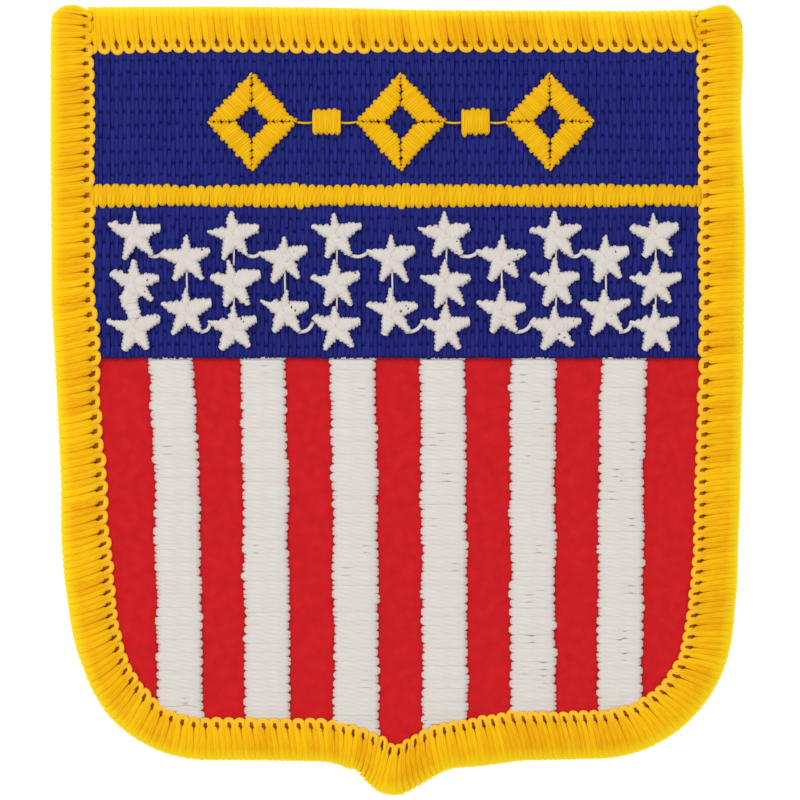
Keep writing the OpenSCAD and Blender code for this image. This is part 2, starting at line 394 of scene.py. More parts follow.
# %% Twill ground and the shadowed padding
RIB_MM = 0.24
RIB_TURN = 38
MOTTLE_MM = 0.9
PADDING_GRAIN_MM = 0.3
# A Wave texture of scale 1 repeats after this length.
WAVE_PERIOD = 0.314


def twill_material():
    """Red polyester and cotton twill: fine ribs that climb from left to right, in a matt weave.

    The rib is a sine wave along a direction turned by RIB_TURN degrees, RIB_MM
    from rib to rib and broken up by noise. It shows only as a faint slanting
    grain, and a softer mottle lies over it.
    """
    material, tree, shader = new_material("red twill cloth", 0.8)
    place = add(tree, "TexCoord")
    turned = add(tree, "Mapping", {"Rotation": (0, 0, math.radians(RIB_TURN))},
                 Vector=place.outputs["Object"])
    rib = add(tree, "TexWave", {"Scale": WAVE_PERIOD / (RIB_MM * MM), "Distortion": 1.2, "Detail": 1.0,
                                          "Detail Scale": 1.5}, Vector=turned.outputs[0])
    mottle = add(tree, "TexNoise", {"Scale": 1 / (MOTTLE_MM * MM), "Detail": 3.0},
                 Vector=place.outputs["Object"])
    tone = add(tree, "Math", {"operation": "MULTIPLY_ADD", "1": 0.2, "use_clamp": True},
               _0=rib.outputs["Fac"], _2=mottle.outputs["Fac"])
    colour = add(tree, "Mix", {"data_type": "RGBA", "6": rgb("#B80F17"), "7": rgb("#D62026")},
                 _0=tone.outputs[0])
    tree.links.new(colour.outputs[2], shader.inputs["Base Color"])
    relief = add(tree, "Bump", {"Strength": 0.35, "Distance": RELIEF_MM * MM},
                 Height=rib.outputs["Fac"])
    tree.links.new(relief.outputs[0], shader.inputs["Normal"])
    return material


def padding_material(name, colour):
    """Thread that lies under other thread and is seen only as a dark line between them. Its colour, mixed by
    noise with a copy at 0.6 of its brightness, is darker than the thread it stands for: painted shade for the
    gaps between threads.
    """
    material, tree, shader = new_material(name, 0.9)
    place = add(tree, "TexCoord")
    grain = add(tree, "TexNoise", {"Scale": 1 / (PADDING_GRAIN_MM * MM)},
                Vector=place.outputs["Object"])
    # The copy at 0.6 of the brightness is painted shade.
    dark = [0.6 * c for c in rgb(colour)[:3]] + [1.0]
    tone = add(tree, "Mix", {"data_type": "RGBA", "6": dark, "7": rgb(colour)},
               _0=grain.outputs["Fac"])
    tree.links.new(tone.outputs[2], shader.inputs["Base Color"])
    return material


TWILL = twill_material()
GOLD_PADDING = padding_material("thread padding, gold", "#E88C0A")
print("materials:", [material.name for material in bpy.data.materials])


# %% [markdown]
# The overlocked border. The machine lays a hairpin of thread over the edge at
# each stitch: it comes up from the back, wraps round the edge, runs inwards
# over the top, turns in a tight loop and goes back. The loops make the scalloped
# inner edge, and the dark dot in each is the hole that the needle left.
# Each hairpin is one tube, so its path has to be a function of two parameters:
# how far inwards it has come, and how far sideways its two strands lie apart.

# %% Section of the border, seen along the edge
STRAND_HALF_HEIGHT = 0.14
CROWN_INSET = 2.0
TIP_REACH = 3.72
TURN_INSET = 3.1
BACK_HEIGHT = 0.22
WRAP_INSET = 0.9
OUT_INSET = 0.08
WRAP = np.radians([-80, -55, -30, 0])
RISE = np.radians([25, 48, 68, 90])
UNDER_INSET = np.array([3.3, 2.2, 1.3, *(WRAP_INSET - (WRAP_INSET - OUT_INSET) * np.cos(WRAP))])
WRAP_HEIGHT = WIDEST_HEIGHT + (WIDEST_HEIGHT - BACK_HEIGHT) * np.sin(WRAP)
UNDER_HEIGHT = np.array([0.42, 0.27, BACK_HEIGHT, *WRAP_HEIGHT])
RISE_INSET = CROWN_INSET - (CROWN_INSET - OUT_INSET) * np.cos(RISE)
OVER_INSET = np.array([*RISE_INSET, 2.3, 2.55, 2.75, 2.93, TURN_INSET])
INSETS = np.concatenate([UNDER_INSET, OVER_INSET])
TURN = np.radians([-60, -32, 0, 32, 60])
print("points in a hairpin:", 2 * len(INSETS) + len(TURN))


def strand_height(inset, tip_height):
    """Height of a strand's middle line over the top of the border.

    Outside the crown it is a quarter ellipse, from the outermost inset o on the
    widest line up to the crown: z = z0 + h sqrt(1 - ((c - u) / (c - o))^2).
    Inside it falls to the loop's tip as z = tip + drop (1 - ((u - c) / (t - c))^2.2),
    with t the inset of the tip.
    """
    crown_height = BORDER_TOP - STRAND_HALF_HEIGHT
    outer = np.clip((CROWN_INSET - inset) / (CROWN_INSET - OUT_INSET), 0, 1)
    inner = np.clip((inset - CROWN_INSET) / (TIP_REACH - CROWN_INSET), 0, 1)
    rising = WIDEST_HEIGHT + (crown_height - WIDEST_HEIGHT) * np.sqrt(1 - outer ** 2)
    falling = tip_height + (crown_height - tip_height) * (1 - inner ** 2.2)
    return np.where(inset < CROWN_INSET, rising, falling)


# %% What the loops lie on
EAR_FOOT = 33.0
EAR_BED = 2.52
STRIPE_SINK = 0.08
CLOTH_LIFT = 0.12


def bed_height(x, y):
    """Height of what the loops lie on: the border in an ear, blue stitching, a stripe or bare cloth."""
    on_stripe = np.zeros(np.shape(x), bool)
    for number in range(len(STRIPE_TABLE)):
        on_stripe |= np.abs(x - stripe_middle(number, y)) < STRIPE_HALF_WIDTH
    below = np.where(on_stripe, FILL_TOP - STRIPE_SINK, GROUND_TOP + CLOTH_LIFT)
    return np.where(y > EAR_FOOT, EAR_BED, np.where(y > PANEL_FOOT, FILL_TOP, below))


# %% [markdown]
# Where the hairpins stand follows from their pitch. A table gives the pitch at
# some places along the run, and adding up the stitches per millimetre tells how
# many there are up to any place. A hairpin stands wherever that is a whole
# number and a half. Its outer end lies nearly straight across from its tip, a
# little ahead, because the cloth moves on while the thread swings over the edge.

# %% Where the hairpins stand
TIP_STEP = 0.1
EDGE_STEP = 0.05
FAN_REACH = 22
EDGE_SHOULDER = 35.3
BOW_SHARE = 0.18


def resample(path, spacing):
    """Points every spacing along a polyline, by linear interpolation on its running length."""
    length = np.concatenate([[0], np.hypot(*np.diff(path, axis=0).T).cumsum()])
    at = np.arange(0, length[-1], spacing)
    return np.stack([np.interp(at, length, path[:, 0]), np.interp(at, length, path[:, 1])], 1), at


def smooth(values, reach):
    """Moving average with a Hann window of 2 reach + 1 samples, with the ends held."""
    window = np.hanning(2 * reach + 3)[1:-1]
    return np.convolve(np.pad(values, reach, mode="edge"), window / window.sum(), "valid")


def merrow_run(tip_path, edge_path, table, random):
    """Hairpin stitches between the line of their tips and the edge of the patch.

    The number of stitches up to a place is the integral of ds / pitch(s), so the
    stitches stand where it is a whole number and a half. The outer end of a
    stitch lies at the foot of its tip on the edge, the place nearest to it, plus
    the lead. The foot is averaged over FAN_REACH steps each way, so that strands
    fan round a corner and never cross. Returns the tips, the outer ends, their
    share of the full height and how far the strands bow.
    """
    line, at = resample(tip_path, TIP_STEP)
    edge_line, edge_at = resample(edge_path, EDGE_STEP)
    nearest = np.linalg.norm(line[:, None] - edge_line, axis=2).argmin(1)
    pitch, inset, lead, share, beyond = [np.interp(at, table[:, 0], column) for column in table[:, 1:].T]
    foot = smooth(np.maximum.accumulate(edge_at[nearest]), FAN_REACH)
    foot = np.maximum.accumulate(foot + lead)
    count = np.cumsum(TIP_STEP / pitch)
    whole = np.arange(0.5, count[-1])
    tip_at = whole + random.uniform(-0.06, 0.06, len(whole))
    end_at = np.interp(whole + random.uniform(-0.04, 0.04, len(whole)), count, foot)

    edge = np.stack([np.interp(end_at, edge_at, v) for v in edge_line.T], 1)
    x_low, x_high = crossings(ring_inset(0), 1, np.minimum(edge[:, 1], EDGE_SHOULDER))
    edge[:, 0] = np.clip(edge[:, 0], x_low, x_high)
    columns = (*line.T, inset, share, beyond, lead)
    x, y, inset, share, beyond, lead = [np.interp(tip_at, count, column) for column in columns]
    tip = np.stack([x, y], 1)
    inward = unit(tip - edge)
    tip = tip + (edge - tip) * (1 - inset / BORDER_WIDTH)[:, None]
    edge = edge + inward * beyond[:, None]
    print("hairpins:", len(tip), "along", round(float(at[-1]), 1), "mm")
    return tip, edge, share, BOW_SHARE * lead


# %% Hairpins as tubes
STRAND_SHIFT = 0.25
STRAND_SHARE = 0.285
OUTER_SHARE = 0.33
APEX_HALF = 0.28
APEX_SHARE = 0.27
STRAND_SIDES = 8
STRAND_FLAT = 0.4
THINNEST = 0.08
LINE_FROM = (0.9, 2.5)
LINE_SHARE = 0.3
TIP_LIFT = 0.06


def hairpin_axes(edge, inward, behind, bow):
    """Middle line of each hairpin, and the steps from it to the next one and to the one before.

    At inset u it is edge + (tip - edge) w - 4 b w (1 - w) n, with w = u / width,
    b the bow and n the direction back along the edge.
    """
    w = INSETS / BORDER_WIDTH
    axis = edge[:, None] + inward[:, None] * w[:, None] - behind * (4 * bow[:, None] * w * (1 - w))[..., None]
    step = np.diff(axis, axis=0)
    return axis, np.concatenate([step, step[-1:]]), -np.concatenate([step[:1], step])


def hairpins(tip, edge, share, bow, crest_line, random, square, shift, thin, gap_from):
    """One tube for each hairpin.

    Its two strands lie beside its axis, moved from there by a quarter of the way
    to the axes on both sides. A fine line parts them, and inwards of gap_from
    the move grows to shift and the half width shrinks to thin, both as shares of
    that way, so a gap opens at the needle hole. The loop is the rounded turn
    (turn + e cos(a)^square, h sin(a)) from one strand to the other, thickest at
    its apex. Where share is below 1 the hairpin sinks towards the height of the
    widest line. No point lies beyond crest_line, rows of x and the greatest y.
    """
    count = len(tip)
    inward = tip - edge
    width = np.linalg.norm(inward, axis=1, keepdims=True)
    along = unit(inward)[:, None]
    behind = np.stack([-along[..., 1], along[..., 0]], -1)
    axis, to_next, to_last = hairpin_axes(edge, inward, behind, bow)
    gap_next, gap_last = [np.clip(np.abs((step * behind).sum(-1)), 0.3, 1.9) for step in (to_next, to_last)]

    # The two strands.
    line_from = random.uniform(*LINE_FROM, (count, 1))
    line = np.clip((INSETS - line_from) / (TURN_INSET - line_from), 0, 1)
    gap = np.clip((INSETS - gap_from) / (TURN_INSET - gap_from), 0, 1) ** 1.5
    part = LINE_SHARE * line + (1 - LINE_SHARE) * gap
    part[:, :len(UNDER_INSET)] = 0
    apart = (STRAND_SHIFT + (shift - STRAND_SHIFT) * part)[..., None]
    half = STRAND_SHARE + (thin - STRAND_SHARE) * part
    half = half + (OUTER_SHARE - STRAND_SHARE) * np.clip(1 - INSETS / WRAP_INSET, 0, 1)
    tip_height = smooth(bed_height(*tip.T), 1)[:, None] + TIP_LIFT
    under = np.broadcast_to(UNDER_HEIGHT, (count, len(UNDER_HEIGHT)))
    height = np.concatenate([under, strand_height(OVER_INSET, tip_height)], 1)
    height = (height + random.normal(0, 0.012, (count, 1)) * (part < 1))[..., None]
    first = np.concatenate([axis + to_next * apart, height], -1)
    second = np.concatenate([axis + to_last * apart, height], -1)[:, ::-1]

    # The loop that joins them.
    reach = (width * (TIP_REACH + random.normal(0, 0.04, (count, 1)) - TURN_INSET) / BORDER_WIDTH)[..., None]
    cos, sin = np.cos(TURN)[:, None] ** square, np.sin(TURN)[:, None]
    spread = shift * np.where(sin < 0, -sin * to_next[:, -1:], sin * to_last[:, -1:])
    loop = axis[:, -1:] + along * reach * cos + spread
    loop_height = height[:, -1:] + (tip_height[:, None] - height[:, -1:]) * cos
    mean_gap = (gap_last[:, -1:] + gap_next[:, -1:]) / 2
    loop_side = along * (shift * mean_gap)[..., None] * cos + behind * reach * sin
    apex_half = np.minimum(APEX_HALF, APEX_SHARE * mean_gap)
    loop_half = thin * mean_gap + (apex_half - thin * mean_gap) * cos[:, 0]

    # One path: in along the first strand, round the loop and out along the second.
    path = np.concatenate([first, np.concatenate([loop, loop_height], -1), second], 1)
    path[..., 2] = WIDEST_HEIGHT + (path[..., 2] - WIDEST_HEIGHT) * share[:, None]
    crest = np.interp(path[..., 0], *crest_line.T)
    path[..., 1] = np.minimum(path[..., 1], crest)
    strand_side = np.broadcast_to(behind, axis.shape)
    side = np.concatenate([-strand_side, loop_side, strand_side], 1)
    side = unit(np.insert(side, 2, 0, axis=2))
    half_width = np.concatenate([half * gap_next, loop_half, (half * gap_last)[:, ::-1]], 1)
    half_height = np.clip(half_width * STRAND_FLAT, THINNEST, STRAND_HALF_HEIGHT)

    # How far in each point lies, which the material turns into painted light: the rim colour near the outer
    # edge, the highlight of the tips at the loop. Under the edge it counts as the crown, so that the rim
    # alone is painted paler.
    insets = np.broadcast_to(INSETS, axis.shape[:2])
    inset = np.concatenate([insets, np.full(loop.shape[:2], BORDER_WIDTH), insets[:, ::-1]], 1)
    inset = np.where(path[..., 2] > 1.0, inset, np.minimum(inset, CROWN_INSET))
    inset = np.minimum(inset, crest - path[..., 1] + 0.3)
    return thread_tubes(path, side, half_width, half_height, random.uniform(0, 1, count),
                        inset / BORDER_WIDTH, STRAND_SIDES)


# %% [markdown]
# The border is sewn in two runs. The top edge comes first. Then one long run
# starts at the top left ear, goes down the side, round the point and up to the
# top right ear, over the ends of the first. The pitch, the reach of the loops
# and the slant of the strands change a little along the way, as the operator
# turned the patch by hand. At the end of a run the strands slip down over it
# and close it, so there the share of the height falls away.

# %% Tables of the two runs
# Columns: distance along the run, pitch, inset of the tips, lead of the outer ends, share of the full
# height, and how far the outer ends stand inside the outline (below 0: beyond it).
SIDE_TABLE = np.array([
    [0, 0.50, 4.10, -0.90, 0.8, -0.05],
    [0.5, 0.52, 4.11, -0.70, 0.95, -0.08],
    [1, 0.80, 4.12, -0.40, 1, -0.12],
    [2, 1.05, 4.13, 0.00, 1, -0.18],
    [6, 1.16, 4.22, 0.60, 1, -0.16],
    [10, 1.16, 4.30, 0.60, 1, -0.14],
    [13, 1.17, 4.18, 0.61, 1, -0.11],
    [16, 1.38, 4.17, 0.63, 1, -0.05],
    [22, 1.36, 4.12, 0.68, 1, 0.04],
    [26, 1.35, 4.18, 0.74, 1, 0.08],
    [30, 1.34, 4.39, 0.80, 1, 0.10],
    [34, 1.33, 4.18, 0.83, 1, 0.12],
    [38, 1.32, 4.10, 0.87, 1, 0.10],
    [42, 1.31, 4.36, 0.90, 1, 0.08],
    [46, 1.30, 4.25, 1.02, 1, -0.16],
    [50, 1.08, 4.44, 1.15, 1, -0.26],
    [54, 1.06, 4.34, 1.17, 1, -0.05],
    [58, 1.05, 4.57, 1.20, 1, 0.26],
    [60, 0.99, 4.35, 1.05, 1, 0.03],
    [62, 0.92, 4.23, 0.90, 1, -0.22],
    [66, 0.97, 3.58, 0.63, 1, -0.26],
    [70, 1.02, 3.85, 0.53, 1, -0.13],
    [74, 1.05, 3.75, 0.60, 1, -0.16],
    [80, 1.10, 3.72, 0.70, 1, -0.29],
    [82.4, 0.98, 3.69, 1.01, 1, -0.22],
    [83.2, 0.98, 3.81, 1.24, 1, 0.25],
    [83.6, 0.98, 3.92, 1.35, 1, 0.34],
    [83.9, 0.98, 3.95, 1.46, 1, 0.40],
    [84.3, 0.98, 4.00, 1.60, 1, -0.05],
    [84.6, 0.98, 4.04, 1.70, 1, -0.11],
    [85.4, 1.02, 4.15, 1.70, 1, -0.19],
    [86.1, 1.08, 4.22, 0.95, 1, -0.22],
    [86.9, 1.08, 4.20, -0.20, 1, -0.20],
    [87.6, 1.00, 4.17, -1.30, 1, -0.10],
    [88.3, 0.88, 4.13, -2.10, 1, -0.10],
    [89, 0.84, 4.13, -2.05, 1, -0.10],
    [89.8, 0.84, 4.18, -1.60, 1, -0.12],
    [90.4, 0.84, 4.19, -1.10, 1, -0.12],
    [91.8, 0.86, 4.18, -0.30, 1, -0.22],
    [93.4, 0.88, 4.21, 0.40, 1, -0.36],
    [94, 0.88, 4.22, 0.49, 1, -0.40],
    [98, 0.93, 4.58, 0.95, 1, -0.16],
    [100, 0.92, 4.43, 1.10, 1, -0.15],
    [106, 0.94, 4.45, 0.90, 1, -0.08],
    [114, 0.94, 4.42, 0.83, 1, 0.04],
    [118, 0.95, 4.57, 0.79, 1, -0.02],
    [122, 0.98, 4.20, 0.75, 1, -0.27],
    [126, 1.02, 3.98, 0.71, 1, -0.19],
    [130, 1.05, 4.06, 0.68, 1, -0.22],
    [138, 1.12, 4.10, 0.60, 1, -0.04],
    [141, 1.45, 4.13, 0.57, 1, -0.03],
    [146, 1.45, 4.18, 0.52, 1, 0.00],
    [148, 1.45, 4.23, 0.50, 1, 0.00],
    [151, 1.12, 4.31, 0.49, 1, 0.01],
    [154, 1.18, 4.40, 0.49, 1, 0.01],
    [158, 1.27, 4.42, 0.48, 1, 0.02],
    [162, 1.35, 4.43, 0.47, 1, 0.16],
    [166, 1.25, 4.50, 0.46, 1, 0.24],
    [170, 1.18, 4.70, 0.46, 1, -0.07],
    [173, 1.15, 4.72, 0.45, 1, -0.04],
    [174.6, 0.99, 4.90, 0.25, 1, -0.04],
    [175.2, 0.85, 4.95, 0.30, 1, -0.02],
    [175.7, 0.60, 4.90, 0.60, 0.95, -0.01],
    [176.3, 0.55, 4.80, 0.60, 0.8, 0.00],
])
TOP_TABLE = np.array([
    [0, 1.2, 4.0, 0.9, 0.7, 0.24],
    [1.3, 1.37, 3.85, 0.9, 1.0, 0.08],
    [6, 1.37, 3.75, 0.9, 1.0, -0.04],
    [26, 1.37, 3.87, 0.8, 1.0, -0.04],
    [30, 1.3, 4.0, 0.7, 1.0, -0.12],
    [36, 1.235, 4.13, 0.7, 1.0, -0.18],
    [46, 1.175, 4.15, 0.6, 1.0, -0.12],
    [53, 1.13, 4.3, 0.6, 1.0, 0.05],
    [55, 1.13, 4.4, 0.6, 0.95, 0.12],
])
# A place beyond the patch on every side, and a y that no strand reaches.
OUTSIDE = 40.0
FREE = 99.0
# The crest of the two ears: x, and the greatest y that the middle of a strand reaches there.
CREST = np.array([
    [-31.6, 34.95], [-31.1, 35.45], [-30.6, 35.8], [-30.0, 35.93], [-29.4, 35.9], [-28.9, 35.75],
    [-28.4, 35.5], [-28.2, 35.45], [-27.2, 35.4], [-27.1, FREE], [26.7, FREE], [26.8, 35.3],
    [28.0, 35.4], [28.5, 35.55], [29.0, 35.74], [29.5, 35.85], [30.1, 35.8], [30.6, 35.5],
    [31.1, 35.0], [31.5, 34.55],
])
NO_CREST = np.array([[-OUTSIDE, FREE], [OUTSIDE, FREE]])


# %% Lines that the two runs follow
EAR_INSIDE = 27.9
EAR_OUTSIDE = 31.5
LEFT_EAR_TOP = 35.6
RIGHT_EAR_TOP = 35.9
EDGE_TOP = 36.5
TOP_RUN_END = 28.9
SIDES_REACH = 30.0
TOP_FOOT = 31.0
TOP_HALF_LENGTH = 26.0


def from_top_left(ring):
    """An outline from its point just left of the top's middle, down the left side and round to the right."""
    return np.roll(ring, -int(np.argmin(np.arctan2(ring[:, 0], -ring[:, 1]))), axis=0)


inner = from_top_left(ring_inset(BORDER_WIDTH)[:-1])
outer = from_top_left(OUTER_RING)
below = inner[inner[:, 1] < SIDES_REACH]
down_to = outer[(outer[:, 1] < EAR_FOOT) & (np.abs(outer[:, 0]) > EAR_INSIDE) | (outer[:, 1] < 0)]
side_path = np.vstack([[-EAR_INSIDE, LEFT_EAR_TOP], below, [EAR_INSIDE, RIGHT_EAR_TOP]])
side_edge = np.vstack([[-EAR_OUTSIDE, EDGE_TOP], down_to, [EAR_OUTSIDE, EDGE_TOP]])

across_top = inner[(inner[:, 1] > TOP_FOOT) & (np.abs(inner[:, 0]) < TOP_HALF_LENGTH)]
across_top = across_top[np.argsort(across_top[:, 0])]
top_x = np.linspace(TOP_RUN_END, -EAR_INSIDE, 9)
top_path = np.stack([top_x, np.interp(top_x, *across_top.T)], 1)
top_edge = np.stack([top_x, crossings(ring_inset(0), 0, top_x)[1]], 1)
print("side run starts at", side_path[0], "and top run at", top_path[0].round(2))


# %% Sew the runs
# The form of the loops, with the names that hairpins gives them.
SIDE_LOOP = {"square": 0.3, "shift": 0.37, "thin": 0.21, "gap_from": 2.88}
TOP_LOOP = {"square": 0.5, "shift": 0.345, "thin": 0.18, "gap_from": 2.7}
SIDE_COVER = 0.3
TOP_COVER = 0.4
TOP_SEEN = 27.0


def sew(name, tip_path, edge_path, table, seed, loop_form, crest_line, cover):
    """Builds one run of the border. Returns the line that lies cover outside its tips."""
    random = np.random.default_rng(seed)
    tip, edge, share, bow = merrow_run(tip_path, edge_path, table, random)
    run = hairpins(tip, edge, share, bow, crest_line, random, **loop_form)
    build(name, [run], GOLD_BORDER, ["merrowed_border"])
    return tip + (edge - tip) * (cover / BORDER_WIDTH)


side_holes = sew("merrow_sides", side_path, side_edge, SIDE_TABLE, 11, SIDE_LOOP, CREST, SIDE_COVER)
top_holes = sew("merrow_top", top_path, top_edge, TOP_TABLE, 12, TOP_LOOP, NO_CREST, TOP_COVER)
down = side_holes[side_holes[:, 1] < TOP_FOOT]
across = top_holes[np.abs(top_holes[:, 0]) < TOP_SEEN]
# The field that all other stitching fills: it ends just under the loops, with a corner on each side.
FIELD = np.vstack([down, [down[-1, 0], across[0, 1]], across, [down[0, 0], across[-1, 1]], down[:1]])
print("field in mm:", np.ptp(FIELD, axis=0).round(1))


# %% [markdown]
# Cloth and padding that fill an outline are flat blocks, made as a grid of
# columns that run from the lower outline to the upper one. Where an outline has
# few corners, a plain upright block does, and a band round the whole shield is
# a row of rails joined by quads.

# %% Slabs, blocks and bands
def plain_part(points, quads, shade, caps=None):
    """A part that isn't a thread: nothing runs along it, so its UV and its reach are 0."""
    corners = quads.size + (0 if caps is None else caps.size)
    part = {"points": points, "quads": quads, "uv": np.zeros((corners, 2)),
            "shade": np.full(len(points), shade), "reach": np.zeros(len(points))}
    return part if caps is None else {**part, "caps": caps}


def two_levels(xy, low, high):
    """The same points at the upper and then at the lower height."""
    return np.concatenate([np.insert(xy, 2, high, axis=1), np.insert(xy, 2, low, axis=1)])


def slab(ring, low, high, y_from=-OUTSIDE, y_to=OUTSIDE, x_from=-OUTSIDE, x_to=OUTSIDE, columns=60, rows=2):
    """A flat block that fills an outline between two heights, cut to a rectangle.

    Column i stands at x_i, and its points run from the lower crossing of the
    outline to the upper one in equal steps: y = y0 + (y1 - y0) j / rows.
    """
    x0 = max(ring[:, 0].min() + 0.02, x_from)
    x1 = min(ring[:, 0].max() - 0.02, x_to)
    x = x0 + (x1 - x0) * np.arange(columns + 1) / columns
    y_low, y_high = [np.clip(y, y_from, y_to) for y in crossings(ring, 0, x)]
    y = y_low[:, None] + (y_high - y_low)[:, None] * np.arange(rows + 1) / rows
    xy = np.stack([np.broadcast_to(x[:, None], y.shape), y], -1).reshape(-1, 2)

    cells = len(xy)
    i, j = np.meshgrid(np.arange(columns), np.arange(rows), indexing="ij")
    a = (i * (rows + 1) + j).ravel()
    b = a + rows + 1
    top = np.stack([a, b, b + 1, a + 1], 1)
    bottom = top[:, ::-1] + cells
    line_x = np.arange(columns) * (rows + 1)
    line_y = np.arange(rows)
    end = columns * (rows + 1)
    walls = [(line_x + rows + 1, line_x), (line_x + rows, line_x + 2 * rows + 1),
             (line_y, line_y + 1), (end + line_y + 1, end + line_y)]
    wall = np.concatenate([np.stack([p, q, q + cells, p + cells], 1) for p, q in walls])
    return plain_part(two_levels(xy, low, high), np.concatenate([top, bottom, wall]), 0.3)


def block(xy, low, high):
    """An upright block on an anticlockwise outline."""
    here = np.arange(len(xy))
    after = (here + 1) % len(xy)
    walls = np.stack([here, here + len(xy), after + len(xy), after], 1)
    return plain_part(two_levels(xy, low, high), walls, 0.5, np.stack([here, here[::-1] + len(xy)]))


def band(points):
    """Quads round the rails points[rail, place], joined from the last rail to the first."""
    across, along = points.shape[:2]
    j, i = np.meshgrid(np.arange(across), np.arange(along), indexing="ij")
    j2, i2 = (j + 1) % across, (i + 1) % along
    quads = np.stack([j * along + i, j2 * along + i, j2 * along + i2, j * along + i2], -1).reshape(-1, 4)
    return plain_part(points.reshape(-1, 3), quads, 0.5)


# %% [markdown]
# Under the strands lies the rest of the thread that the machine packs into the
# edge. It is never seen as such, but it closes the gaps between the strands
# with a dark gold, which is painted shade for those gaps, so it is one plain ring
# with a slot for the cloth. A second, thin ring stands for the looper thread
# under the loops. Its still darker gold is painted shade: it is what makes the
# needle holes and the notches between the loops dark. Where the side run ends
# in an ear, more threads lie one above the other round its end.

# %% Padding under the border
# Rows are inset and height, round the section.
PADDING_SECTION = np.array([
    [2.75, 0.38], [1.0, 0.38], [0.5, 0.75], [0.48, 1.35], [0.9, 2.0], [2.0, 2.38],
    [2.7, 2.1], [2.75, 1.68], [0.93, 1.68], [0.9, 0.56], [2.75, 0.56],
])
# A darker gold than the padding: painted shade for the needle holes and the notches between the loops, and in
# the ears.
LOOPER_THREAD = padding_material("thread under the loops, gold", "#CC7A08")
LOOPER_THICK = 0.2
LOOPER_WIDE = 0.9
LOOPER_RAISED = GROUND_TOP + 0.34


def swept_ring(section):
    """A closed section carried round the shield: each of its points follows its own inset outline."""
    rails = np.stack([ring_inset(inset)[:-1] for inset in section[:, 0]])
    height = np.broadcast_to(section[:, 1, None], rails.shape[:2])
    return band(np.concatenate([rails, height[..., None]], -1))


def looper():
    """A flat thread under the loops: from the edge of the field outwards, just on what lies there."""
    line = FIELD[:-1]
    heading = unit(np.roll(line, -1, axis=0) - np.roll(line, 1, axis=0))
    outwards = np.stack([heading[:, 1], -heading[:, 0]], 1)
    top = bed_height(*line.T)
    far = line + outwards * LOOPER_WIDE
    raised = np.maximum(top, LOOPER_RAISED)
    rails = [(line, top - LOOPER_THICK), (far, top - LOOPER_THICK), (far, raised), (line, top)]
    return band(np.stack([np.column_stack(rail) for rail in rails]))


build("merrow_padding", [swept_ring(PADDING_SECTION)], GOLD_PADDING, ["merrowed_border"])


# %% Ends of the ears
HALF_WIDTH = 31.8
EAR_LEVELS = np.linspace(0.3, 2.3, 10)
EAR_MIDDLE = 1.3
EAR_THREAD = 0.16
EAR_FLAT = 0.7
LEFT_EAR = np.array([-31.6, -31.3, -30.9, -30.4, -29.8, -29.2, -28.7, -28.2, -27.6, -27.2])
RIGHT_EAR = np.array([31.5, 31.2, 30.8, 30.3, 29.7, 29.1, 28.6, 28.1, 27.4, 26.9])
EAR_BLOCKS = (-29.2, 27.75)
EAR_BLOCK_WIDTH = 1.45


def ear_threads(x):
    """Threads that lie one above the other round the end of an ear, from its outer corner inwards.

    A thread at the height z lies at crest(x) - 0.03 - 0.2 ((z - m) / m)^2, with m
    the middle height, and both of its ends turn in below the strands. Towards
    the outer corner the threads lie lower, as far as the strands over them do.
    """
    crest = np.interp(x, *CREST.T)
    under = 0.8 * strand_height(HALF_WIDTH - np.abs(x), EAR_BED) - 0.05
    lowest = EAR_LEVELS[0]
    z = lowest + (EAR_LEVELS[:, None] - lowest) * np.minimum(1, (under - lowest) / np.ptp(EAR_LEVELS))
    y = crest - 0.03 - 0.2 * ((z - EAR_MIDDLE) / EAR_MIDDLE) ** 2
    y[:, [0, -1]] -= [0.5, 0.2]
    path = np.stack([np.broadcast_to(x, y.shape), y, z], -1)
    upright = np.broadcast_to([0.0, 0.0, 1.0], path.shape)
    half = np.full(y.shape, EAR_THREAD)
    # A reach of 0.1 gives these threads most of the border's painted rim light.
    return thread_tubes(path, upright, half, half * EAR_FLAT, np.linspace(0.2, 0.8, len(EAR_LEVELS)), 0.1)


# The blocks under the ears take the looper's darker gold: painted shade in the holes of the ears.
ear_blocks = [slab(ring_inset(1.2), GROUND_TOP, EAR_BED - 0.07, 32.7, 34.9, x, x + EAR_BLOCK_WIDTH, columns=8)
              for x in EAR_BLOCKS]
build("ear_ends", [ear_threads(LEFT_EAR), ear_threads(RIGHT_EAR)], GOLD_BORDER,
      ["merrowed_border"])
build("merrow_looper", [looper(), *ear_blocks], LOOPER_THREAD, ["merrowed_border"])


# %% [markdown]
# The twill ground is a sheet of cloth that the border grips. Its cut lies a
# little inside the border's widest line, so the border covers its edge.

# %% Twill ground
CLOTH_INSET = 0.95
cloth_ring = ring_inset(CLOTH_INSET)
cloth = build("twill_ground", [slab(cloth_ring, GROUND_LOW, GROUND_TOP, columns=120, rows=60)], TWILL,
              ["ground_cloth"])


# %% [markdown]
# Satin stitch. The machine swings the needle from one edge of a bar to the
# other and back, so the threads lie side by side and two of them meet in each
# needle hole. Seen close, that gives the bar a row of small teeth along both
# edges. The threads lie evenly over most of the bar and only run together in
# the last half millimetre, where they dive into the cloth.

# %% Satin stitches
SLIT_REACH = 0.09


